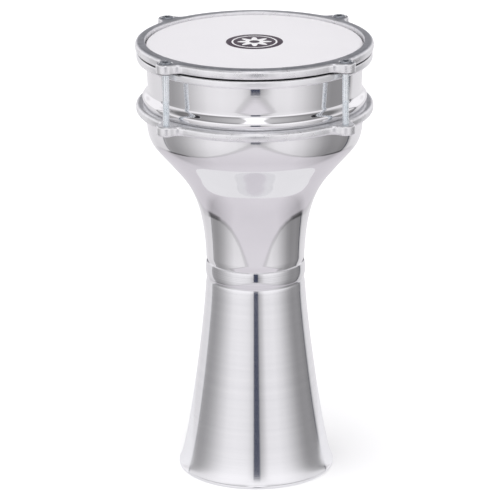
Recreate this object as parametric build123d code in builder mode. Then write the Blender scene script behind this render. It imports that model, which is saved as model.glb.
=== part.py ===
from build123d import *
import os

# Aluminium darbuka (goblet drum) with a bolted tension hoop.
# Millimetres, +Z up. The origin is the centre of the foot's rim, on the ground.
# The drum axis is Z and the player's side faces -Y.

os.makedirs("parts", exist_ok=True)

# ---- driving dimensions ----------------------------------------------------
HOOP_R = 104.0              # outer radius of both cast hoops
COLLAR_R = 94.4             # straight collar that the head is drawn over
BEAD_R = 98.3               # formed bead that the lower hoop pulls against
BOWL_R = 95.0               # bowl just below the bead
COLLAR_FLARE = 7.5          # the collar starts to widen this far above the bead
NECK_R = 43.5               # narrowest part of the bowl shell
NECK_SWAGE = 1.2            # the spigot is this much smaller than the neck
SHOULDER_END = (74.2, 284.7)  # radius and level where the bowl turns concave
FOOT_TOP_R = 44.2           # top of the foot cone
FOOT_CROWN = 1.1            # the foot's top is turned in by this much
CROWN_SHARE = 0.06          # over this share of its side
FOOT_RIM_R = 69.6           # rolled rim on the ground
RIM_ROLL_Z = 3.6            # height of the rolled rim
RIM_WIDTH = 3.2
RIM_BULGE = 0.9             # how far the roll rounds out past its flat seat
WALL = 1.6                  # spun aluminium sheet

TOP_HOOP_Z = 394.8          # top face of the tension hoop
TOP_HOOP_H = 9.2
LOWER_HOOP_Z = 339.8        # top face of the lower hoop, under the bead
LOWER_HOOP_H = 8.8
BEAD_Z = 344.5              # widest level of the bead
NECK_END_Z = 196.4          # the neck is swaged down to its spigot below here
WAIST_TOP_Z = 193.4         # upper edge of the joining band
WAIST_LOW_Z = 177.2         # lower edge of the band, top of the foot
SPIGOT_LOW_Z = 165.0        # the neck runs down inside the foot to here

EARS = 4                    # lugs and bolts, on the diagonals
EAR_ANGLE = 45.0
BOLT_CIRCLE_R = 108.3
EAR_R = 8.5
EAR_FILLET = 9.0
CAST_ROUND = 1.8            # rounded outer edges of the castings
CAST_EDGE = 0.6             # lightly broken inner edges
HOOP_SLIP = 0.7             # top hoop's clearance around the film's skirt
BOWL_SLIP = 0.3             # lower hoop's clearance around the bowl

# M6 x 60 socket cap screws, coarse thread
BOLT_R = 2.95
BOLT_LENGTH = 60.0
BOLT_HEAD_R = 5.0
BOLT_HEAD_H = 6.0
SOCKET_FLATS = 5.0
SOCKET_DEPTH = 3.0
SEAT_DEPTH = 5.2            # counterbore, so the head stands 0.8 proud
SEAT_R = 5.8
SEAT_CHAMFER = 0.7
CLEAR_HOLE_R = 3.3
TAPPED_HOLE_R = 3.0         # running clearance of 0.05 around the thread

# head: 0.25 film, tucked and bonded into an aluminium channel ring
FILM = 0.25
EDGE_Z = 392.15             # bearing edge, the top of the collar
EDGE_ROUND = 2.7
EDGE_LIP_R = 89.0           # the sheet turns in to here at the bearing edge
FILM_GAP = 0.05             # between the collar and the film's skirt
RING_OUTER_R = 103.0
RING_INNER_R = 95.05        # just clear of the skirt
RING_H = 7.8
RING_SHEET = 1.2
RING_ROUND = 2.6

top_hoop_low_z = TOP_HOOP_Z - TOP_HOOP_H
lower_hoop_low_z = LOWER_HOOP_Z - LOWER_HOOP_H
ring_top_z = top_hoop_low_z
ring_low_z = ring_top_z - RING_H
skirt_r = COLLAR_R + FILM_GAP + FILM
channel_outer_r = RING_OUTER_R - RING_SHEET
channel_h = RING_H - 2 * RING_SHEET
channel_mid = ((skirt_r + channel_outer_r) / 2, (ring_top_z + ring_low_z) / 2)
spigot_r = NECK_R - NECK_SWAGE
foot_top_z = WAIST_LOW_Z - WALL
flare_top_z = BEAD_Z + COLLAR_FLARE
bolt_seat_z = TOP_HOOP_Z - SEAT_DEPTH


# ---- sheet outlines --------------------------------------------------------
def bend(start, start_dir, end, end_dir, start_pull, end_pull, inset=0.0):
    """Draw a fair curve between two tangents, moved inwards by the inset.

    Both ends shift along their own normals, so a second bend drawn with the
    sheet's thickness as its inset is the parallel inner face of the first.
    """
    go_in, go_out = Vector(start_dir).normalized(), Vector(end_dir).normalized()
    first = Vector(start) + Vector(go_in.Y, -go_in.X) * inset
    last = Vector(end) + Vector(go_out.Y, -go_out.X) * inset
    stretch = (last - first).length / (Vector(end) - Vector(start)).length
    return Bezier(
        first, first + go_in * start_pull * stretch,
        last - go_out * end_pull * stretch, last)


# ---- upper shell: collar, bead, bowl and neck, spun from one sheet ---------
def upper_shell_face(inset):
    """Draw one face of the sheet from the bearing edge down to the spigot."""
    top = EDGE_Z - inset
    collar_r = COLLAR_R - inset
    seat_r = BOWL_R - inset
    lip = Line((EDGE_LIP_R, top), (COLLAR_R - EDGE_ROUND, top))
    edge = TangentArc(lip @ 1, (collar_r, EDGE_Z - EDGE_ROUND), tangent=(1, 0))
    Line(edge @ 1, (collar_r, flare_top_z))
    bend((COLLAR_R, flare_top_z), (0, -1), (BEAD_R, BEAD_Z), (0, -1), 3.4, 3.2, inset)
    under_bead = bend(
        (BEAD_R, BEAD_Z), (0, -1), (BOWL_R + 1.0, LOWER_HOOP_Z), (-1, 0), 3.0, 1.2, inset)
    step = Line(under_bead @ 1, (seat_r, LOWER_HOOP_Z + inset))
    Line(step @ 1, (seat_r, lower_hoop_low_z))
    wall_dir, slope_dir, neck_dir = (0, -1), (-0.83, -1), (-0.04, -1)
    bend((BOWL_R, lower_hoop_low_z), wall_dir, SHOULDER_END, slope_dir, 27.4, 26.2, inset)
    throat = bend(
        SHOULDER_END, slope_dir, (NECK_R, NECK_END_Z), neck_dir, 22.2, 58.6, inset)
    swage = Line(throat @ 1, (spigot_r - inset, WAIST_TOP_Z))
    spigot = Line(swage @ 1, (spigot_r - inset, SPIGOT_LOW_Z))
    return lip @ 0, spigot @ 1


with BuildPart() as upper_shell:
    with BuildSketch(Plane.XZ):
        with BuildLine():
            outer_lip, outer_tail = upper_shell_face(0)
            inner_lip, inner_tail = upper_shell_face(WALL)
            Line(outer_lip, inner_lip)
            Line(outer_tail, inner_tail)
        make_face()
    revolve(axis=Axis.Z)
upper_shell.part.label = "upper_shell"
export_step(upper_shell.part, "parts/upper_shell.step")


# ---- waist band: turned sleeve that covers the joint of neck and foot ------
with BuildPart() as waist_band:
    with BuildSketch(Plane.XZ):
        with BuildLine():
            band_top = Line((spigot_r, WAIST_TOP_Z), (NECK_R - 0.1, WAIST_TOP_Z))
            barrel = Spline(
                band_top @ 1, (NECK_R + 0.45, WAIST_TOP_Z - 6.5),
                (NECK_R - 0.35, WAIST_LOW_Z + 1.6),
                tangents=[(0.25, -1), (-0.45, -1)])
            groove = Line(barrel @ 1, (NECK_R - 0.35, WAIST_LOW_Z))
            band_base = Line(groove @ 1, (spigot_r, WAIST_LOW_Z))
            Line(band_base @ 1, band_top @ 0)
        make_face()
    revolve(axis=Axis.Z)
waist_band.part.label = "waist_band"
export_step(waist_band.part, "parts/waist_band.step")


# ---- foot: flared cone with a rolled rim, socketed over the neck's spigot --
def foot_face(inset):
    """Draw one face of the foot's sheet from its top down to the rolled rim."""
    return bend(
        (FOOT_TOP_R, foot_top_z), (0, -1), (FOOT_RIM_R - 0.2, RIM_ROLL_Z), (0.6, -1),
        28.6, 16.3, inset)


with BuildPart() as foot:
    with BuildSketch(Plane.XZ):
        with BuildLine():
            outer_face = foot_face(0)
            inner_face = foot_face(WALL)
            Line(outer_face @ 0, inner_face @ 0)
            Line(outer_face @ 1, inner_face @ 1)
        make_face()
        # thickened socket that grips the spigot
        socket_mid = ((FOOT_TOP_R + spigot_r) / 2, (WAIST_LOW_Z + SPIGOT_LOW_Z) / 2)
        with Locations(socket_mid):
            Rectangle(FOOT_TOP_R - spigot_r, WAIST_LOW_Z - SPIGOT_LOW_Z)
        # the top is turned in to a soft crown that meets the band
        with BuildLine():
            low, low_dir = outer_face @ CROWN_SHARE, outer_face % CROWN_SHARE
            crown = bend(
                (FOOT_TOP_R - FOOT_CROWN, WAIST_LOW_Z), (0.3, -1), (low.X, low.Y),
                (low_dir.X, low_dir.Y), 3.5, 3.5)
            Polyline(
                crown @ 1, (FOOT_TOP_R + FOOT_CROWN, low.Y),
                (FOOT_TOP_R + FOOT_CROWN, WAIST_LOW_Z), crown @ 0)
        make_face(mode=Mode.SUBTRACT)
        # rolled rim with a flat seat on the ground
        with BuildLine():
            seat = Polyline(
                (FOOT_RIM_R - RIM_BULGE, RIM_ROLL_Z), (FOOT_RIM_R - RIM_WIDTH, RIM_ROLL_Z),
                (FOOT_RIM_R - RIM_WIDTH, 0), (FOOT_RIM_R - RIM_BULGE, 0))
            ThreePointArc(seat @ 1, (FOOT_RIM_R, RIM_ROLL_Z / 2), seat @ 0)
        make_face()
    revolve(axis=Axis.Z)
foot.part.label = "foot"
export_step(foot.part, "parts/foot.step")


# ---- cast hoops ------------------------------------------------------------
def cast_hoop(low_z, height, inner_r):
    """Build one hoop casting in its own part builder and return the builder."""
    with BuildPart() as hoop:
        with BuildSketch(Plane.XY.offset(low_z)) as plan:
            Circle(HOOP_R)
            with PolarLocations(BOLT_CIRCLE_R, EARS, start_angle=EAR_ANGLE):
                Circle(EAR_R)
            corners = plan.vertices().filter_by(
                lambda v: abs(v.Y) > 1 and abs(v.X) > 1)
            fillet(corners, EAR_FILLET)
        extrude(amount=height)
        rims = hoop.faces().filter_by(Axis.Z).edges()
        fillet(rims, CAST_ROUND)
        with Locations((0, 0, low_z + height)):
            Hole(inner_r)
        bore_edges = hoop.edges().filter_by(GeomType.CIRCLE).filter_by(
            lambda e: abs(e.radius - inner_r) < 1e-3)
        chamfer(bore_edges, CAST_EDGE)
    return hoop


# top hoop: four counterbored ears, presses down on the head's ring
top_hoop = cast_hoop(top_hoop_low_z, TOP_HOOP_H, skirt_r + HOOP_SLIP)
with top_hoop:
    with Locations(Plane.XY.offset(TOP_HOOP_Z)):
        with PolarLocations(BOLT_CIRCLE_R, EARS, start_angle=EAR_ANGLE):
            CounterBoreHole(CLEAR_HOLE_R, SEAT_R, SEAT_DEPTH)
    seat_mouths = top_hoop.edges().filter_by(GeomType.CIRCLE).filter_by(
        lambda e: abs(e.radius - SEAT_R) < 1e-3).group_by(Axis.Z)[-1]
    chamfer(seat_mouths, SEAT_CHAMFER)
top_hoop.part.label = "top_hoop"
export_step(top_hoop.part, "parts/top_hoop.step")

# lower hoop: four tapped ears, pulled up under the bead
lower_hoop = cast_hoop(lower_hoop_low_z, LOWER_HOOP_H, BOWL_R + BOWL_SLIP)
with lower_hoop:
    with Locations(Plane.XY.offset(LOWER_HOOP_Z)):
        with PolarLocations(BOLT_CIRCLE_R, EARS, start_angle=EAR_ANGLE):
            CounterSinkHole(TAPPED_HOLE_R, TAPPED_HOLE_R + 0.7, counter_sink_angle=90)
lower_hoop.part.label = "lower_hoop"
export_step(lower_hoop.part, "parts/lower_hoop.step")


# ---- drumhead: flat film, folded down over the bearing edge ----------------
with BuildPart() as drumhead:
    with BuildSketch(Plane.XZ):
        with BuildLine():
            flat = Line((0, EDGE_Z + FILM), (COLLAR_R - EDGE_ROUND, EDGE_Z + FILM))
            fold = TangentArc(
                flat @ 1, (skirt_r, EDGE_Z + FILM - EDGE_ROUND - FILM - FILM_GAP),
                tangent=flat % 1)
            skirt = Line(fold @ 1, (skirt_r, ring_low_z + RING_SHEET))
            offset(amount=FILM, side=Side.RIGHT)
        make_face()
    revolve(axis=Axis.Z)
drumhead.part.label = "drumhead"
export_step(drumhead.part, "parts/drumhead.step")


# ---- flesh hoop: channel ring that holds the film, open towards the shell --
with BuildPart() as flesh_hoop:
    with BuildSketch(Plane.XZ):
        with Locations(((RING_INNER_R + RING_OUTER_R) / 2, channel_mid[1])):
            Rectangle(RING_OUTER_R - RING_INNER_R, RING_H)
    revolve(axis=Axis.Z)
    outer_rims = flesh_hoop.edges().filter_by(GeomType.CIRCLE).filter_by(
        lambda e: abs(e.radius - RING_OUTER_R) < 1e-3)
    fillet(outer_rims, RING_ROUND)
    with BuildSketch(Plane.XZ):
        with Locations(channel_mid):
            Rectangle(channel_outer_r - skirt_r, channel_h)
    revolve(axis=Axis.Z, mode=Mode.SUBTRACT)
flesh_hoop.part.label = "flesh_hoop"
export_step(flesh_hoop.part, "parts/flesh_hoop.step")


# ---- bond ring: cast resin that locks the film's skirt in the channel ------
with BuildPart() as head_bond_ring:
    with BuildSketch(Plane.XZ):
        with Locations(channel_mid):
            Rectangle(channel_outer_r - skirt_r, channel_h)
    revolve(axis=Axis.Z)
head_bond_ring.part.label = "head_bond_ring"
export_step(head_bond_ring.part, "parts/head_bond_ring.step")


# ---- tension bolts: one per ear, each its own piece ------------------------
BOLT_NAMES = ["back_right", "back_left", "front_left", "front_right"]

for name, spot in zip(BOLT_NAMES, PolarLocations(BOLT_CIRCLE_R, EARS, start_angle=EAR_ANGLE)):
    axis_x, axis_y = spot.position.X, spot.position.Y
    with BuildPart() as bolt:
        with BuildSketch(Plane.XY.offset(bolt_seat_z)):
            with Locations((axis_x, axis_y)):
                Circle(BOLT_HEAD_R)
        extrude(amount=BOLT_HEAD_H)
        fillet(bolt.faces().sort_by(Axis.Z)[-1].edges(), 0.5)
        with BuildSketch(Plane.XY.offset(bolt_seat_z + BOLT_HEAD_H)):
            with Locations((axis_x, axis_y)):
                RegularPolygon(SOCKET_FLATS / 2, 6, major_radius=False)
        extrude(amount=-SOCKET_DEPTH, mode=Mode.SUBTRACT)
        with BuildSketch(Plane.XY.offset(bolt_seat_z)):
            with Locations((axis_x, axis_y)):
                Circle(BOLT_R)
        extrude(amount=-BOLT_LENGTH)
        chamfer(bolt.faces().sort_by(Axis.Z)[0].edges(), 0.8)
    bolt.part.label = "tension_bolt_" + name
    export_step(bolt.part, "parts/tension_bolt_" + name + ".step")
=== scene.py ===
import math

import bmesh
import bpy
from mathutils import Matrix, Vector
from mathutils.geometry import interpolate_bezier


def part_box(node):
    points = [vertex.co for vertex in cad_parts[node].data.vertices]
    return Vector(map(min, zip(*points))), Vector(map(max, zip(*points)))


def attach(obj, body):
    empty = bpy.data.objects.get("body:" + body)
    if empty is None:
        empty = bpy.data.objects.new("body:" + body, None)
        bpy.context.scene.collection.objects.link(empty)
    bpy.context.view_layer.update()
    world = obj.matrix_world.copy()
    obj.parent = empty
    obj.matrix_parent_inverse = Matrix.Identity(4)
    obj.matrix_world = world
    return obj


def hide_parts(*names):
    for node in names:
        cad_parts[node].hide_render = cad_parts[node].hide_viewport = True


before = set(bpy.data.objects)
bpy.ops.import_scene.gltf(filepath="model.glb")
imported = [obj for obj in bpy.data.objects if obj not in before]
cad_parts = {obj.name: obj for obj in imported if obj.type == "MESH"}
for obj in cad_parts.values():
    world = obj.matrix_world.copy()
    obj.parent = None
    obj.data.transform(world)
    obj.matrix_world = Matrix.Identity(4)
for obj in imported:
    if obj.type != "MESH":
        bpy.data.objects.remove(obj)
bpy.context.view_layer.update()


# ---- Upper shell ------------------------------------------------------------
# Collar, bead, bowl and neck in one piece of 1.6 mm aluminium sheet, spun over a
# former and buffed to a mirror. The bearing edge is rolled in at the top and the
# neck ends in a narrower spigot that the band and the foot push onto.
MM = 0.001
SHEET = 1.6
BEARING_EDGE = 392.15       # level of the edge the head is drawn over
COLLAR_R, EDGE_ROUND, EDGE_LIP_R = 94.4, 2.7, 89.0
DRAW_TOP, DRAW_LOW, DRAW_RATE = 385, 353, 0.000163      # the collar draws in a trace
FLARE_R = COLLAR_R - 0.95
BEAD_R, BEAD_Z, CREASE_Z = 98.3, 344.5, 339.8
BOWL_R, BOWL_TOP = 95.0, 331.0
BEND, BEND_LEAN = (74.2, 284.7), (-0.83, -1)            # where the bowl turns into the neck
NECK_R, NECK_Z = 43.5, 196.4
SPIGOT_R, SPIGOT_TOP, SPIGOT_LOW = 42.3, 193.4, 165
DOWN, INWARD = (0, -1), (-1, 0)


def fair_curve(start, start_dir, end, end_dir, start_pull, end_pull, inset, steps):
    """Points along a fair curve between two tangents, moved in by the sheet's inset."""
    go_in, go_out = Vector(start_dir).normalized(), Vector(end_dir).normalized()
    first = Vector(start) + Vector((go_in.y, -go_in.x)) * inset
    last = Vector(end) + Vector((go_out.y, -go_out.x)) * inset
    stretch = (last - first).length / (Vector(end) - Vector(start)).length
    ends = [first, first + go_in * start_pull * stretch,
            last - go_out * end_pull * stretch, last]
    return [tuple(p)[:2] for p in interpolate_bezier(*[p.to_3d() for p in ends], steps)]


def rounded(centre, radius, from_angle, to_angle, steps):
    """Points along an arc, angles in degrees from the +R direction."""
    step = (to_angle - from_angle) / steps
    turns = [math.radians(from_angle + step * i) for i in range(steps + 1)]
    return [(centre[0] + radius * math.cos(t), centre[1] + radius * math.sin(t)) for t in turns]


def to_piece(bm, name, crease=32):
    """Turn a finished bmesh into a smooth object with its hard edges kept."""
    for face in bm.faces:
        face.smooth = True
    for edge in bm.edges:
        edge.smooth = edge.calc_face_angle(0.0) < math.radians(crease)
    mesh = bpy.data.meshes.new(name)
    bm.to_mesh(mesh)
    bm.free()
    piece = bpy.data.objects.new(name, mesh)
    bpy.context.scene.collection.objects.link(piece)
    return piece


def face_out(bm):
    """Point every face of a closed shape outwards."""
    bmesh.ops.recalc_face_normals(bm, faces=bm.faces)
    if bm.calc_volume(signed=True) < 0:
        bmesh.ops.reverse_faces(bm, faces=bm.faces)


def spun(name, outline, steps=240, closed=True):
    """Spin an outline of (radius, level) points in mm about the drum's axis."""
    bm = bmesh.new()
    points = [bm.verts.new((r * MM, 0, z * MM)) for r, z in outline]
    loop = points + points[:1] if closed else points
    edges = [bm.edges.new(pair) for pair in zip(loop, loop[1:])]
    bmesh.ops.spin(bm, geom=points + edges, axis=(0, 0, 1), cent=(0, 0, 0),
                   angle=math.tau, steps=steps, use_merge=True)
    bmesh.ops.remove_doubles(bm, verts=bm.verts, dist=1e-6)
    face_out(bm)
    return to_piece(bm, name)


def shell_face(inset):
    """One face of the upper shell's sheet, from the bearing edge to the spigot."""
    face = [(EDGE_LIP_R, BEARING_EDGE - inset)]
    face += rounded((COLLAR_R - EDGE_ROUND, BEARING_EDGE - EDGE_ROUND),
                    EDGE_ROUND - inset, 90, 0, 8)
    face += [(COLLAR_R - DRAW_RATE * (DRAW_TOP - z) ** 2.5 - inset, z)
             for z in range(DRAW_TOP, DRAW_LOW, -2)]
    face += fair_curve((FLARE_R, DRAW_LOW), (-0.07, -1), (BEAD_R, BEAD_Z), DOWN,
                       3.8, 3.2, inset, 18)
    face += fair_curve((BEAD_R, BEAD_Z), DOWN, (BOWL_R + 1, CREASE_Z), INWARD,
                       3.0, 1.2, inset, 12)[1:]
    face += [(BOWL_R - inset, CREASE_Z + inset), (BOWL_R - inset, BOWL_TOP + 4)]
    face += fair_curve((BOWL_R, BOWL_TOP), DOWN, BEND, BEND_LEAN, 27.4, 26.2, inset, 34)
    face += fair_curve(BEND, BEND_LEAN, (NECK_R, NECK_Z), (-0.04, -1),
                       22.2, 58.6, inset, 46)[1:]
    face += [(SPIGOT_R - inset, SPIGOT_TOP), (SPIGOT_R - inset, SPIGOT_LOW)]
    return face


def wire(tree, kind, inputs, **options):
    """Add a node, set its options, and set or link its inputs."""
    node = tree.nodes.new(kind)
    for key, value in options.items():
        setattr(node, key, value)
    for key, value in inputs.items():
        if isinstance(value, bpy.types.NodeSocket):
            tree.links.new(value, node.inputs[key])
        else:
            node.inputs[key].default_value = value
    return node


def sums(tree, operation, *values):
    """One Math node; gives its result."""
    return wire(tree, "ShaderNodeMath", dict(enumerate(values)), operation=operation).outputs[0]


def shades(tree, amount, stops):
    """Colour ramp from (position, grey or colour) stops; gives its colour."""
    node = wire(tree, "ShaderNodeValToRGB", {"Fac": amount})
    ramp = node.color_ramp
    while len(ramp.elements) < len(stops):
        ramp.elements.new(1.0)
    for stop, (position, tone) in zip(ramp.elements, stops):
        stop.position = position
        stop.color = (*(tone if isinstance(tone, tuple) else (tone,) * 3), 1)
    return node.outputs["Color"]


def drifting(tree, amount, darker, lighter):
    """A tone that drifts between two close colours as the noise does."""
    return shades(tree, amount, [(0.3, darker), (0.7, lighter)])


def mottled(tree, place, scale, detail):
    """Noise through the whole piece; gives its value."""
    return wire(tree, "ShaderNodeTexNoise",
                {"Vector": place, "Scale": scale, "Detail": detail}).outputs["Fac"]


def lathe_lines(tree, along, scale, detail):
    """Noise along one length only, so that it runs round and round; gives its value."""
    return wire(tree, "ShaderNodeTexNoise", {"W": along, "Scale": scale, "Detail": detail},
                noise_dimensions="1D").outputs["Fac"]


def relief(tree, height, strength, distance, finer=None):
    """Bump from a height, on top of a finer one if there is one; gives its normal."""
    inputs = {"Height": height, "Strength": strength, "Distance": distance}
    if finer is not None:
        inputs["Normal"] = finer
    return wire(tree, "ShaderNodeBump", inputs).outputs[0]


def on_piece(tree):
    """Object coordinates, as a vector and as their X, Y and Z."""
    place = wire(tree, "ShaderNodeTexCoord", {}).outputs["Object"]
    return place, wire(tree, "ShaderNodeSeparateXYZ", {"Vector": place}).outputs


def from_axis(tree, parts):
    """Distance from the drum's axis."""
    return sums(tree, "SQRT", sums(tree, "ADD", sums(tree, "MULTIPLY", parts["X"], parts["X"]),
                                   sums(tree, "MULTIPLY", parts["Y"], parts["Y"])))


def new_finish(name, **settings):
    """A material with its shader's constants set; gives it, its tree and its shader."""
    finish = bpy.data.materials.new(name)
    finish.use_nodes = True
    shader = finish.node_tree.nodes["Principled BSDF"]
    for key, value in settings.items():
        shader.inputs[key.replace("_", " ")].default_value = value
    return finish, finish.node_tree, shader


def surfaced(tree, shader, colour, roughness, normal=None):
    """Link a finish's colour, roughness and relief to its shader."""
    for key, socket in (("Base Color", colour), ("Roughness", roughness), ("Normal", normal)):
        if socket is not None:
            tree.links.new(socket, shader.inputs[key])


def coated(piece, finish):
    """Give a piece its one finish."""
    piece.data.materials.clear()
    piece.data.materials.append(finish)


spun_shell = spun("spun_shell", shell_face(0) + shell_face(SHEET)[::-1])

mirror, tree, shader = new_finish("buffed_aluminium", Metallic=1.0)
place, parts = on_piece(tree)
along_wall = sums(tree, "SUBTRACT", parts["Z"], from_axis(tree, parts))
buffing = lathe_lines(tree, along_wall, 900.0, 3.0)
haze = mottled(tree, place, 26.0, 4.0)
surfaced(tree, shader,
         drifting(tree, haze, (0.90, 0.895, 0.905), (0.935, 0.93, 0.94)),
         sums(tree, "MULTIPLY_ADD", haze, 0.05, sums(tree, "MULTIPLY_ADD", buffing, 0.03, 0.02)),
         relief(tree, haze, 0.08, 0.0006, relief(tree, buffing, 0.05, 0.0001)))
coated(spun_shell, mirror)
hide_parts("upper_shell")
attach(spun_shell, "shell")


# ---- Waist band -------------------------------------------------------------
# A turned aluminium sleeve, barrelled a little, that hides the joint where the
# neck's spigot enters the foot. It pushes on over the spigot.
BAND_R, BAND_BELLY, BAND_ROUND, BAND_LOW = 43.1, 43.4, 0.3, 177.2


def turned_round(tree, shader):
    """Stretch the shine round the axis, as a lathe's marks do."""
    tangent = wire(tree, "ShaderNodeTangent", {}, direction_type="RADIAL", axis="Z")
    tree.links.new(tangent.outputs[0], shader.inputs["Tangent"])


band_outline = [(SPIGOT_R, SPIGOT_TOP), (BAND_R, SPIGOT_TOP)]
band_outline += rounded((BAND_R, SPIGOT_TOP - BAND_ROUND), BAND_ROUND, 90, 20, 4)
band_outline += fair_curve((BAND_BELLY, 193.0), (0.25, -1), (BAND_R + 0.05, 178.8), (-0.45, -1),
                           5.0, 4.0, 0, 24)
band_outline += [(BAND_R + 0.05, BAND_LOW), (SPIGOT_R, BAND_LOW)]
waist_sleeve = spun("waist_sleeve", band_outline)

turned, tree, shader = new_finish("turned_aluminium", Metallic=1.0, Anisotropic=0.8,
                                  Anisotropic_Rotation=0.25)
place, parts = on_piece(tree)
cuts = lathe_lines(tree, parts["Z"], 1500.0, 4.0)
surfaced(tree, shader,
         drifting(tree, cuts, (0.84, 0.84, 0.855), (0.92, 0.92, 0.93)),
         sums(tree, "MULTIPLY_ADD", cuts, 0.08, 0.05),
         relief(tree, cuts, 0.12, 0.0001))
turned_round(tree, shader)
coated(waist_sleeve, turned)
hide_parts("waist_band")
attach(waist_sleeve, "shell")


# ---- Foot -------------------------------------------------------------------
# Flared cone spun from aluminium sheet, with a thick socket at the top and a
# rolled rim on the ground. Its outside is brushed round and round on the lathe.
FOOT_TOP_R, SHOULDER_R, SHOULDER_Z = 44.2, 44.57, 165.9
RIM_R, RIM_H, RIM_LIP = 69.6, 3.6, 3.2


def cone_face(inset, steps=72):
    """One face of the foot's sheet, from its top to the rolled rim."""
    return fair_curve((FOOT_TOP_R, 175.6), DOWN, (RIM_R - 0.2, RIM_H), (0.6, -1),
                      28.6, 16.3, inset, steps)


foot_outline = [(SPIGOT_R, BAND_LOW)]
foot_outline += fair_curve((FOOT_TOP_R - 1.1, BAND_LOW), (0.3, -1), (SHOULDER_R, SHOULDER_Z),
                           (0.06, -1), 3.5, 3.5, 0, 14)
foot_outline += [p for p in cone_face(0) if p[1] < SPIGOT_LOW]
foot_outline += rounded((RIM_R - RIM_H / 2, RIM_H / 2), RIM_H / 2, 60, -60, 8)
foot_outline += [(RIM_R - 1.1, 0.0), (RIM_R - RIM_LIP, 0.0), (RIM_R - RIM_LIP, RIM_H)]
foot_outline += cone_face(SHEET)[::-1][1:-4]
foot_outline += [(SPIGOT_R, SPIGOT_LOW)]
spun_foot = spun("spun_foot", foot_outline)

brushed, tree, shader = new_finish("brushed_aluminium", Metallic=1.0, Anisotropic=0.9,
                                   Anisotropic_Rotation=0.25)
place, parts = on_piece(tree)
fine = lathe_lines(tree, parts["Z"], 1300.0, 5.0)
broad = lathe_lines(tree, parts["Z"], 160.0, 3.0)
both = sums(tree, "MULTIPLY", sums(tree, "ADD", fine, broad), 0.5)
surfaced(tree, shader,
         drifting(tree, both, (0.885, 0.885, 0.90), (0.94, 0.94, 0.95)),
         sums(tree, "MULTIPLY_ADD", fine, 0.08, 0.09),
         relief(tree, broad, 0.05, 0.0003, relief(tree, fine, 0.10, 0.0001)))
turned_round(tree, shader)
coated(spun_foot, brushed)
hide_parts("foot")
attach(spun_foot, "shell")


# ---- Lower and top hoops ----------------------------------------------------
# Two die-cast aluminium rings with four ears each. Their rims are polished, and
# their flat faces are left dull and slightly pitted as they came from the die.
HOOP_R, EAR_CIRCLE_R, EAR_R, EAR_BLEND = 103.97, 108.3, 8.5, 9.0
EAR_ROUND, RIM_ROUND, BORE_EDGE = 1.8, 3.6, 0.6
EAR_RISE = 7                # past the rim by this much, an ear has its own sharper edge
SEAT = 0.3856               # level in metres where the top hoop bears on the flesh hoop
LOW_FACE, HIGH_FACE = 0, 1
# near-black painted shade for the crack where the top hoop bears on the flesh hoop
CRACK_SHADE = (0.05, 0.05, 0.055, 1)


def hoop_plan():
    """The hoop's plan, as (centre, outward direction, signed radius, ear share) all round."""
    reach, gap = HOOP_R + EAR_BLEND, EAR_R + EAR_BLEND
    swing = math.acos((reach ** 2 + EAR_CIRCLE_R ** 2 - gap ** 2) / (2 * reach * EAR_CIRCLE_R))
    hollow = Vector((reach * math.cos(swing), reach * math.sin(swing)))
    lean = math.atan2(hollow.y, hollow.x - EAR_CIRCLE_R)
    # an eighth of the ring: half an ear, the hollow beside it, then the round rim
    half = [(Vector((EAR_CIRCLE_R, 0)), lean * i / 12, EAR_R, 1) for i in range(12)]
    half += [(hollow, math.pi + lean + (swing - lean) * i / 10, EAR_BLEND, -1) for i in range(10)]
    half += [(Vector((0, 0)), swing + (math.pi / 4 - swing) * i / 26, HOOP_R, 1) for i in range(27)]
    other = [(Vector((c.x, -c.y)), -t, r, b) for c, t, r, b in half[1:]]
    plan = []
    for quarter in range(4):
        turn = Matrix.Rotation(math.pi / 4 + quarter * math.pi / 2, 2)
        for centre, angle, radius, bulge in other[::-1][1:] + half:
            across = Vector((math.cos(angle), math.sin(angle))) * bulge
            past_rim = (turn @ (centre + across * radius * bulge)).length - HOOP_R
            ear = max(0.0, min(1.0, past_rim / EAR_RISE))
            plan.append((turn @ centre, turn @ across, radius * bulge, ear))
    return plan


def screwed(bm, outline, spot, steps=40):
    """Spin an outline of (radius, level) points in mm about an upright axis at a spot."""
    points = [bm.verts.new(((spot.x + r) * MM, spot.y * MM, z * MM)) for r, z in outline]
    edges = [bm.edges.new(pair) for pair in zip(points, points[1:])]
    bmesh.ops.spin(bm, geom=points + edges, axis=(0, 0, 1), cent=(spot.x * MM, spot.y * MM, 0),
                   angle=math.tau, steps=steps, use_merge=True)
    bmesh.ops.remove_doubles(bm, verts=bm.verts, dist=1e-6)


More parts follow.
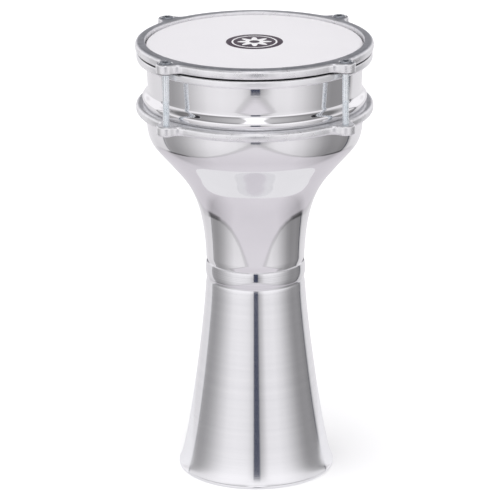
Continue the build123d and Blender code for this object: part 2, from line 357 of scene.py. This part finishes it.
def cast_ring(name, node, inner_r, drill_outline):
    """A cast hoop with the levels of its CAD node, drilled at its four ears."""
    levels = [corner[2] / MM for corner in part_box(node)]
    low, high = levels
    arc = [math.radians(9 * i) for i in range(11)]
    section = [("bore", 0, low + BORE_EDGE), ("bore", BORE_EDGE, low)]
    section += [("low_rim", 1 - math.sin(t), 1 - math.cos(t)) for t in arc]
    section += [("high_rim", 1 - math.cos(t), 1 - math.sin(t)) for t in arc]
    section += [("bore", BORE_EDGE, high), ("bore", 0, high - BORE_EDGE)]
    plan = hoop_plan()
    # a plain spun ring first, whose radii only number the points of the section
    bm = bmesh.new()
    points = [bm.verts.new((200 + i, 0, 0)) for i in range(len(section))]
    edges = [bm.edges.new(pair) for pair in zip(points, points[1:] + points[:1])]
    bmesh.ops.spin(bm, geom=points + edges, axis=(0, 0, 1), cent=(0, 0, 0),
                   angle=math.tau, steps=len(plan), use_merge=True)
    # each spun section moves onto the plan: its bore stays round, its rim follows the ears
    for vert in bm.verts:
        turn = round(math.atan2(vert.co.y, vert.co.x) / math.tau * len(plan)) % len(plan)
        where, inset, rise = section[round(vert.co.xy.length) - 200]
        centre, across, radius, ear = plan[turn]
        edge = RIM_ROUND + (EAR_ROUND - RIM_ROUND) * ear
        if where == "bore":
            spot = (centre + across * radius).normalized() * (inner_r + inset)
            vert.co = (spot.x, spot.y, rise)
        else:
            spot = centre + across * (radius - edge * inset)
            vert.co = (spot.x, spot.y,
                       low + edge * rise if where == "low_rim" else high - edge * rise)
    face_out(bm)
    bmesh.ops.scale(bm, vec=(MM, MM, MM), verts=bm.verts)
    ring = to_piece(bm, name)
    bm = bmesh.new()
    for quarter in range(4):
        spot = Matrix.Rotation(math.pi / 4 + quarter * math.pi / 2, 2) @ Vector((EAR_CIRCLE_R, 0))
        screwed(bm, [(r, levels[face] + up) for r, face, up in drill_outline], spot)
    face_out(bm)
    drill = to_piece(bm, "drill")
    cut = ring.modifiers.new("ears", "BOOLEAN")
    cut.operation, cut.object, cut.solver = "DIFFERENCE", drill, "EXACT"
    bored = bpy.data.meshes.new_from_object(
        ring.evaluated_get(bpy.context.evaluated_depsgraph_get()))
    bm = bmesh.new()
    bm.from_mesh(bored)
    bpy.data.objects.remove(ring)
    bpy.data.objects.remove(drill)
    ring = to_piece(bm, name, 28)
    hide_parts(node)
    return ring


def between(tree, value, start, end):
    """0 at start, 1 at end, and a straight change between them."""
    return wire(tree, "ShaderNodeMapRange",
                {"Value": value, "From Min": start, "From Max": end}).outputs[0]


def window(tree, value, opens, opened, closes, closed):
    """1 from opened to closes, falling away to 0 on both sides."""
    return sums(tree, "SUBTRACT", between(tree, value, opens, opened),
                between(tree, value, closes, closed))


def laid_over(tree, amount, under, over, kind="MIX"):
    """Lay one colour over another by an amount, or multiply it in; gives the result."""
    return wire(tree, "ShaderNodeMix", {"Factor": amount, 6: under, 7: over},
                data_type="RGBA", blend_type=kind).outputs[2]


cast, tree, shader = new_finish("cast_aluminium", Metallic=0.85)
place, parts = on_piece(tree)
facing = wire(tree, "ShaderNodeTexCoord", {}).outputs["Normal"]
upward = wire(tree, "ShaderNodeSeparateXYZ", {"Vector": facing}).outputs["Z"]
flat_face = shades(tree, sums(tree, "ABSOLUTE", upward), [(0.55, 0.0), (0.9, 1.0)])
skin = wire(tree, "ShaderNodeTexNoise", {"Vector": place, "Scale": 130.0, "Detail": 6.0,
                                         "Roughness": 0.6}).outputs["Fac"]
pits = wire(tree, "ShaderNodeTexVoronoi", {"Vector": place, "Scale": 420.0}).outputs["Distance"]
rim_tone = drifting(tree, skin, (0.80, 0.80, 0.81), (0.92, 0.92, 0.93))
darker_flat_tone = drifting(tree, skin, (0.43, 0.44, 0.47), (0.59, 0.60, 0.63))
lighter_flat_tone = drifting(tree, skin, (0.70, 0.705, 0.73), (0.84, 0.845, 0.86))
# the top hoop's flat faces are given a darker tone than the lower hoop's
flat_tone = laid_over(tree, between(tree, parts["Z"], 0.35, 0.36), lighter_flat_tone, darker_flat_tone)
tone = laid_over(tree, flat_face, rim_tone, flat_tone)
# painted shade in the narrow crack where the top hoop bears on the flesh hoop
crack_shade = window(tree, parts["Z"], SEAT - 0.0016, SEAT - 0.0004, SEAT + 0.0006, SEAT + 0.0014)
surfaced(tree, shader,
         laid_over(tree, crack_shade, tone, CRACK_SHADE),
         sums(tree, "MULTIPLY_ADD", flat_face, 0.04, sums(tree, "MULTIPLY_ADD", skin, 0.18, 0.20)),
         relief(tree, skin, 0.30, 0.0006, relief(tree, pits, 0.12, 0.0003)))

# each drill's outline is (radius, face it is measured from, height past that face)
TAP_R, TAP_MOUTH = 3.0, 4.7
TAPPED = [(0, HIGH_FACE, 1), (TAP_MOUTH, HIGH_FACE, 1), (TAP_R, HIGH_FACE, -0.7),
          (TAP_R, LOW_FACE, -1), (0, LOW_FACE, -1)]
lower_ring = cast_ring("cast_lower_ring", "lower_hoop", 95.3, TAPPED)
coated(lower_ring, cast)
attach(lower_ring, "shell")
SINK_R, SINK_MOUTH, SINK_DEPTH, CLEAR_R = 5.6, 7.0, 5.2, 3.3
BORED = [(0, HIGH_FACE, 1), (SINK_MOUTH, HIGH_FACE, 1), (SINK_R, HIGH_FACE, -0.7),
         (SINK_R, HIGH_FACE, -SINK_DEPTH), (CLEAR_R, HIGH_FACE, -SINK_DEPTH),
         (CLEAR_R, LOW_FACE, -1), (0, LOW_FACE, -1)]
upper_ring = cast_ring("cast_upper_ring", "top_hoop", 95.4, BORED)
coated(upper_ring, cast)
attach(upper_ring, "hoop")


# ---- Drumhead ---------------------------------------------------------------
# Milky plastic film, formed over the bearing edge and tucked into a metal ring.
# A round badge is printed at its centre, with a thin ring and a flower on it.
HEAD_TOP, FILM, FOLD_R, SKIRT_LOW = 392.4, 0.25, 3.0, 379.0
BADGE_R, INK = 24.9, 0.05
PETALS, PETAL_R, PETAL_REACH, EYE_R = 8.0, 0.0115, 0.0035, 0.0045
THIN_RING = (0.0185, 0.0200)

fold_centre = (COLLAR_R - EDGE_ROUND, HEAD_TOP - FOLD_R)
head_outline = [(r, HEAD_TOP) for r in (0, 20, 60, 85)]
head_outline += rounded(fold_centre, FOLD_R, 90, 0, 14)
head_outline += [(fold_centre[0] + FOLD_R, SKIRT_LOW), (fold_centre[0] + FOLD_R - FILM, SKIRT_LOW)]
head_outline += rounded(fold_centre, FOLD_R - FILM, 0, 90, 14)
head_outline += [(85, HEAD_TOP - FILM), (0, HEAD_TOP - FILM)]
film_head = spun("film_head", head_outline, closed=False)

film, tree, shader = new_finish("milky_film", Coat_Weight=0.12, Coat_Roughness=0.35)
place, parts = on_piece(tree)
cloud = mottled(tree, place, 9.0, 3.0)
grain = mottled(tree, place, 2600.0, 2.0)
surfaced(tree, shader,
         drifting(tree, cloud, (0.800, 0.788, 0.806), (0.830, 0.818, 0.836)),
         sums(tree, "MULTIPLY_ADD", grain, 0.2, 0.34),
         relief(tree, grain, 0.15, 0.0001))
coated(film_head, film)
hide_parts("drumhead")
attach(film_head, "shell")

badge_outline = [(0, HEAD_TOP + INK), (BADGE_R - 0.2, HEAD_TOP + INK), (BADGE_R, HEAD_TOP),
                 (0, HEAD_TOP)]
head_badge = spun("head_badge", badge_outline, steps=96, closed=False)

print_ink, tree, shader = new_finish("printed_badge")
place, parts = on_piece(tree)
radius = from_axis(tree, parts)
angle = sums(tree, "ARCTAN2", parts["Y"], parts["X"])
wave = sums(tree, "COSINE", sums(tree, "MULTIPLY", angle, PETALS))
flower = sums(tree, "LESS_THAN", radius,
              sums(tree, "MULTIPLY_ADD", wave, PETAL_REACH, PETAL_R))
eye = sums(tree, "LESS_THAN", radius, EYE_R)
thin_ring = sums(tree, "MULTIPLY", sums(tree, "GREATER_THAN", radius, THIN_RING[0]),
                 sums(tree, "LESS_THAN", radius, THIN_RING[1]))
white = sums(tree, "MAXIMUM", sums(tree, "SUBTRACT", flower, eye), thin_ring)
speck = mottled(tree, place, 900.0, 3.0)
ink = drifting(tree, speck, (0.055, 0.040, 0.055), (0.075, 0.058, 0.075))
surfaced(tree, shader,
         laid_over(tree, white, ink, (0.86, 0.85, 0.86, 1)),
         sums(tree, "MULTIPLY_ADD", speck, 0.2, 0.35))
coated(head_badge, print_ink)
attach(head_badge, "shell")


# ---- Flesh hoop and bond ring -----------------------------------------------
# Rolled aluminium channel that grips the film's skirt, filled with cast resin.
# Only the channel's bright outer wall shows, between the top hoop and the collar.
RING_TOP, RING_LOW, RING_OUT, RING_IN = 385.6, 377.8, 103.0, 95.05
RING_ROUND, RING_WALL = 2.6, 1.2

ring_outline = [(RING_IN, RING_TOP)]
ring_outline += rounded((RING_OUT - RING_ROUND, RING_TOP - RING_ROUND), RING_ROUND, 90, 0, 12)
ring_outline += rounded((RING_OUT - RING_ROUND, RING_LOW + RING_ROUND), RING_ROUND, 0, -90, 12)
ring_outline += [(RING_IN, RING_LOW), (RING_IN, RING_LOW + RING_WALL),
                 (RING_OUT - RING_WALL, RING_LOW + RING_WALL),
                 (RING_OUT - RING_WALL, RING_TOP - RING_WALL), (RING_IN, RING_TOP - RING_WALL)]
channel_ring = spun("channel_ring", ring_outline)

rolled, tree, shader = new_finish("rolled_aluminium", Metallic=0.8)
place, parts = on_piece(tree)
mill = lathe_lines(tree, parts["Z"], 1800.0, 3.0)
dust = mottled(tree, place, 60.0, 4.0)
bright = drifting(tree, dust, (0.86, 0.86, 0.87), (0.95, 0.95, 0.96))
# painted shade along the flesh hoop's top edge, in the crack under the top hoop
crack_shade = between(tree, parts["Z"], SEAT - 0.0011, SEAT - 0.0005)
surfaced(tree, shader,
         laid_over(tree, crack_shade, bright, CRACK_SHADE),
         sums(tree, "MULTIPLY_ADD", dust, 0.16, 0.24),
         relief(tree, mill, 0.08, 0.0001))
coated(channel_ring, rolled)
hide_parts("flesh_hoop")
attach(channel_ring, "shell")

# the resin keeps its CAD shape, and shows as amber where it shows at all
resin, tree, shader = new_finish("cast_resin", Coat_Weight=0.3, Coat_Roughness=0.1)
place, parts = on_piece(tree)
swirl = mottled(tree, place, 90.0, 4.0)
surfaced(tree, shader,
         drifting(tree, swirl, (0.52, 0.44, 0.30), (0.64, 0.56, 0.42)),
         sums(tree, "MULTIPLY_ADD", swirl, 0.2, 0.15))
bond_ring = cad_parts["head_bond_ring"]
for resin_slot in bond_ring.material_slots:
    resin_slot.material = resin


# ---- Tension bolts ----------------------------------------------------------
# Four zinc-plated M6 socket cap screws. Each head sits in an ear of the top hoop,
# and the rolled thread on its lower half runs down into an ear of the lower hoop.
BOLT_R, CORE_R, HEAD_R, HEAD_H, HEAD_ROUND = 2.95, 2.45, 5.0, 6.0, 0.5
SOCKET_R, SOCKET_MOUTH, SOCKET_DEPTH, SOCKET_EDGE = 2.887, 3.15, 3.0, 0.3
THREAD_TOP, PITCH, THREAD_STEPS, SUNK = 361.0, 1.0, 28, 0.05
HEAD_SHADE_FROM, HEAD_SHADE_FULL = 0.3888, 0.3896       # levels in metres, up the sides of the heads, where the painted shade of the counterbores begins

zinc, tree, shader = new_finish("zinc_plate", Metallic=0.85)
place, parts = on_piece(tree)
bloom = mottled(tree, place, 260.0, 5.0)
crystal = mottled(tree, place, 1900.0, 2.0)
plate = drifting(tree, bloom, (0.84, 0.89, 0.92), (0.95, 0.98, 1.0))
head_shade_tone = drifting(tree, bloom, (0.30, 0.32, 0.35), (0.56, 0.59, 0.63))
# painted shade: the heads, sunk in the top hoop's counterbores, are given a dark tone
surfaced(tree, shader,
         laid_over(tree, between(tree, parts["Z"], HEAD_SHADE_FROM, HEAD_SHADE_FULL), plate, head_shade_tone),
         sums(tree, "MULTIPLY_ADD", bloom, 0.2, 0.18),
         relief(tree, crystal, 0.15, 0.0001))

low, high = (Vector(corner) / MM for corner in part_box("tension_bolt_front_left"))
top, seat, tip = high.z, high.z - HEAD_H, low.z
pattern = bmesh.new()
socket_floor = bmesh.ops.create_circle(
    pattern, cap_ends=True, segments=6, radius=SOCKET_R,
    matrix=Matrix.Translation((0, 0, top - SOCKET_DEPTH)))["verts"]
socket_wall = bmesh.ops.extrude_edge_only(
    pattern, edges=list({edge for vert in socket_floor for edge in vert.link_edges}))["geom"]
bmesh.ops.translate(pattern, vec=(0, 0, SOCKET_DEPTH - SOCKET_EDGE),
                    verts=[part for part in socket_wall if isinstance(part, bmesh.types.BMVert)])
hex_mouth = [part for part in socket_wall if isinstance(part, bmesh.types.BMEdge)
             and all(v.co.z > top - 0.5 for v in part.verts)]
outline = [(SOCKET_MOUTH, top)]
outline += rounded((HEAD_R - HEAD_ROUND, top - HEAD_ROUND), HEAD_ROUND, 90, 0, 5)
outline += [(HEAD_R, seat + 0.3), (HEAD_R - 0.3, seat), (BOLT_R, seat), (BOLT_R, THREAD_TOP),
            (CORE_R, THREAD_TOP - 0.5), (CORE_R, tip + 0.6), (CORE_R - 0.6, tip), (0, tip)]
points = [pattern.verts.new((r, 0, z)) for r, z in outline]
edges = [pattern.edges.new(pair) for pair in zip(points, points[1:])]
bmesh.ops.spin(pattern, geom=points + edges, axis=(0, 0, 1), cent=(0, 0, 0),
               angle=math.tau, steps=48, use_merge=True)
bmesh.ops.remove_doubles(pattern, verts=pattern.verts, dist=1e-4)
head_mouth = [e for e in pattern.edges
              if e.is_boundary and all(abs(v.co.z - top) < 1e-3 for v in e.verts)]
bmesh.ops.bridge_loops(pattern, edges=hex_mouth + head_mouth)
# the thread: one V of the profile, swept up the shank as a right-hand helix
turns = int((THREAD_TOP - tip) / PITCH) - 1
profile = [(CORE_R - SUNK, 0.0), (BOLT_R - SUNK, 0.42), (BOLT_R - SUNK, 0.58),
           (CORE_R - SUNK, PITCH)]
ridge = [pattern.verts.new((r, 0, tip + 0.8 + z)) for r, z in profile]
ridge_edges = [pattern.edges.new(pair) for pair in zip(ridge, ridge[1:])]
bmesh.ops.spin(pattern, geom=ridge + ridge_edges, axis=(0, 0, 1), cent=(0, 0, 0),
               dvec=(0, 0, PITCH / THREAD_STEPS), angle=math.tau * turns,
               steps=THREAD_STEPS * turns, use_merge=False)
bmesh.ops.remove_doubles(pattern, verts=pattern.verts, dist=1e-4)
face_out(pattern)
bmesh.ops.scale(pattern, vec=(MM, MM, MM), verts=pattern.verts)

for corner in ("back_right", "back_left", "front_left", "front_right"):
    low, high = (Vector(end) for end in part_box("tension_bolt_" + corner))
    bm = pattern.copy()
    bmesh.ops.translate(bm, vec=((low.x + high.x) / 2, (low.y + high.y) / 2, 0), verts=bm.verts)
    screw = to_piece(bm, "cap_screw_" + corner)
    coated(screw, zinc)
    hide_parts("tension_bolt_" + corner)
    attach(screw, "bolt_" + corner)
pattern.free()


# ---- Floor, light and camera ------------------------------------------------
# A plain pale floor, a broad soft light overhead, and pale studio walls to the
# sides with a narrow dark gap between the two in front of the drum.
bm = bmesh.new()
bmesh.ops.create_grid(bm, x_segments=2, y_segments=2, size=60.0)
floor = to_piece(bm, "studio_floor")
pale, tree, shader = new_finish("pale_floor", Roughness=0.9, Emission_Strength=0.16,
                                Base_Color=(0.94, 0.94, 0.94, 1), Emission_Color=(1, 1, 1, 1))
floor.data.materials.append(pale)
floor.visible_glossy = False

# a round pale board under the drum, which only the polished metal sees
bm = bmesh.new()
bmesh.ops.create_circle(bm, cap_ends=True, segments=96, radius=0.188,
                        matrix=Matrix.Translation((0.003, 0.110, -0.001)))
board = to_piece(bm, "studio_board")
board_glow, tree, shader = new_finish("board_glow", Emission_Strength=1.0,
                                      Base_Color=(0, 0, 0, 1),
                                      Emission_Color=(0.80, 0.795, 0.82, 1))
board.data.materials.append(board_glow)
board.visible_camera = board.visible_diffuse = board.visible_shadow = False

lamp = bpy.data.lights.new("overhead_light", "SUN")
lamp.angle = math.radians(70)
lamp.energy = 2.0
overhead = bpy.data.objects.new("overhead_light", lamp)
overhead.matrix_world = (Matrix.Rotation(math.radians(-12), 4, "Y")
                         @ Matrix.Rotation(math.radians(10), 4, "X"))
overhead.visible_glossy = False
bpy.context.scene.collection.objects.link(overhead)

world = bpy.data.worlds.new("studio")
bpy.context.scene.world = world
world.use_nodes = True
tree = world.node_tree
direction = wire(tree, "ShaderNodeTexCoord", {}).outputs["Generated"]
toward = wire(tree, "ShaderNodeSeparateXYZ", {"Vector": direction}).outputs
turned_by = sums(tree, "ARCTAN2", toward["X"], sums(tree, "MULTIPLY", toward["Y"], -1.0))
# bearings from the drum's front and elevations, in degrees, then as shares for the ramps
bearing = sums(tree, "MULTIPLY", turned_by, 180 / math.pi)
rise = sums(tree, "MULTIPLY", sums(tree, "ARCSINE", toward["Z"]), 180 / math.pi)
around = sums(tree, "ADD", sums(tree, "DIVIDE", bearing, 360.0), 0.5)
spread = sums(tree, "DIVIDE", sums(tree, "ABSOLUTE", bearing), 180.0)
height = sums(tree, "ADD", sums(tree, "DIVIDE", rise, 180.0), 0.5)


def turns_to(stops):
    """Ramp stops along `around` for bearings in degrees."""
    return [(0.5 + turn / 360, glow) for turn, glow in stops]


def rises_to(stops):
    """Ramp stops along `height` for elevations in degrees."""
    return [(0.5 + up / 180, glow) for up, glow in stops]


def grey(glow):
    """A neutral light."""
    return (glow, glow, glow, 1)


# the two pale walls, brightest to the front, dull at the sides, white behind
walls = shades(tree, around, turns_to([
    (-180, 0.80), (-160, 0.78), (-140, 0.72), (-121, 0.74), (-117, 0.62), (-113, 0.34),
    (-100, 0.33), (-90, 0.38), (-80, 0.47), (-67, 0.63), (-52, 0.80), (-37, 0.84), (-22, 0.81),
    (-12, 0.74), (12, 0.68), (22, 0.79), (37, 0.81), (52, 0.69), (67, 0.49), (80, 0.33),
    (90, 0.27), (105, 0.28), (116, 0.24), (121, 0.26), (125, 0.50), (130, 0.72), (150, 0.76),
    (180, 0.80)]))
lit = laid_over(tree, 1.0, walls, grey(0.90), "MULTIPLY")
above_eye = sums(tree, "MULTIPLY", between(tree, rise, 0.0, 6.0), 0.6)
lit = laid_over(tree, above_eye, lit, grey(0.97))
lit = laid_over(tree, between(tree, rise, -20.0, -28.0), lit, grey(0.92), "MULTIPLY")

# thin dark joints where the walls end
left_joint = window(tree, bearing, -118.4, -117.4, -116.0, -115.0)
right_joint = window(tree, bearing, 119.4, 120.4, 122.0, 123.0)
joint = sums(tree, "MULTIPLY_ADD", left_joint, 0.6, sums(tree, "MULTIPLY", right_joint, 0.88))
lit = laid_over(tree, joint, lit, (0.03, 0.035, 0.05, 1))

# the narrow dark gap between the walls, straight in front of the drum, in soft shade
GAP_FOOT = (-18.45, -18.25)     # elevations between which the gap stops above the table
reach = window(tree, rise, *GAP_FOOT, 9, 15)
penumbra = shades(tree, around, turns_to([
    (-14, 1.0), (-9, 0.88), (-5, 0.78), (0, 0.6), (5, 0.50), (8, 0.64), (12, 0.82), (18, 1.0)]))
lit = laid_over(tree, reach, lit, penumbra, "MULTIPLY")
gap = sums(tree, "MULTIPLY", window(tree, bearing, -5.3, -4.7, 4.8, 5.4), reach)
lit = laid_over(tree, gap, lit, (0.050, 0.058, 0.088, 1))
below_gap = shades(tree, around, turns_to([
    (-15, 1.0), (-7, 0.92), (-3, 0.84), (3, 0.80), (7, 0.90), (15, 1.0)]))
lit = laid_over(tree, window(tree, rise, -24, -20, *GAP_FOOT), lit, below_gap, "MULTIPLY")

# the table below the walls, with a dark crease where they meet
drop = shades(tree, spread, [(turn / 180, down / 90) for turn, down in [
    (0, 18.8), (5, 19.6), (10, 21.0), (17, 23.2), (28, 27.4), (40, 32.4), (60, 38.4),
    (76, 40.4), (92, 40.2), (106, 38.0), (118, 35.6), (140, 30), (180, 24)]])
over_table = sums(tree, "MULTIPLY_ADD", drop, 90.0, rise)
on_table = shades(tree, sums(tree, "MULTIPLY_ADD", over_table, 1 / 20, 0.5),
                  [(0.47, 1.0), (0.53, 0.0)])
table = shades(tree, height, rises_to([
    (-80, (0.63, 0.615, 0.635)), (-55, (0.60, 0.585, 0.605)),
    (-35, (0.62, 0.605, 0.625)), (-20, (0.66, 0.65, 0.665))]))
side_fall = shades(tree, spread, [
    (0.30, 1.0), (0.52, 0.72), (0.64, 0.62), (0.74, 0.90), (1.0, 1.0)])
side_share = shades(tree, height, rises_to([(-68, 0.0), (-45, 1.0)]))
table = laid_over(tree, side_share, table, side_fall, "MULTIPLY")
lit = laid_over(tree, on_table, lit, table)
crease_dark = shades(tree, spread, [
    (0.0, 0.84), (0.48, 0.74), (0.54, 0.34), (0.67, 0.30), (0.71, 0.85), (1.0, 1.0)])
crease = window(tree, over_table, -2.2, -0.8, 1.4, 2.2)
lit = laid_over(tree, crease, lit, crease_dark, "MULTIPLY")

# a dim ceiling, darkest behind, with a lit strip straight in front
STRIP_GLOW = 1.7
ceiling = shades(tree, height, rises_to([(28, 0.0), (42, 1.0)]))
strip = shades(tree, spread, [(0.07, 0.95), (0.12, 0.32), (0.5, 0.22), (1.0, 0.14)])
strip = laid_over(tree, 1.0, strip, grey(STRIP_GLOW), "MULTIPLY")
tiers = shades(tree, height, rises_to([(28, 0.45), (44, 0.45), (62, 0.85), (74, 1.0), (90, 1.0)]))
lit = laid_over(tree, ceiling, lit, laid_over(tree, 1.0, strip, tiers, "MULTIPLY"))
behind = sums(tree, "MULTIPLY", shades(tree, spread, [(0.80, 0.0), (0.90, 1.0)]),
              shades(tree, height, rises_to([(7, 0.0), (14, 1.0)])))
lit = laid_over(tree, behind, lit, (0.16, 0.16, 0.17, 1))
lit = laid_over(tree, 1.0, lit, (0.985, 0.972, 1.0, 1), "MULTIPLY")
background = tree.nodes["Background"]
tree.links.new(lit, background.inputs["Color"])
background.inputs["Strength"].default_value = 1.18

AIM = Vector((-0.00478, 0.0, 0.2012))
STAND_OFF, LOOK_DOWN = 3.0479, math.radians(18.487)
SWING, ROLL = math.radians(-0.6), math.radians(-0.28)
lens = bpy.data.cameras.new("portrait")
lens.lens, lens.sensor_width, lens.clip_end = 247.08, 36.0, 100.0
camera = bpy.data.objects.new("portrait", lens)
back_off = STAND_OFF * Vector((0, -math.cos(LOOK_DOWN), math.sin(LOOK_DOWN)))
camera.matrix_world = (
    Matrix.Rotation(SWING, 4, "Z") @ Matrix.Translation(AIM + back_off)
    @ Matrix.Rotation(math.pi / 2 - LOOK_DOWN, 4, "X") @ Matrix.Rotation(ROLL, 4, "Z"))
bpy.context.scene.collection.objects.link(camera)
bpy.context.scene.camera = camera
bpy.context.scene.view_settings.view_transform = "Standard"
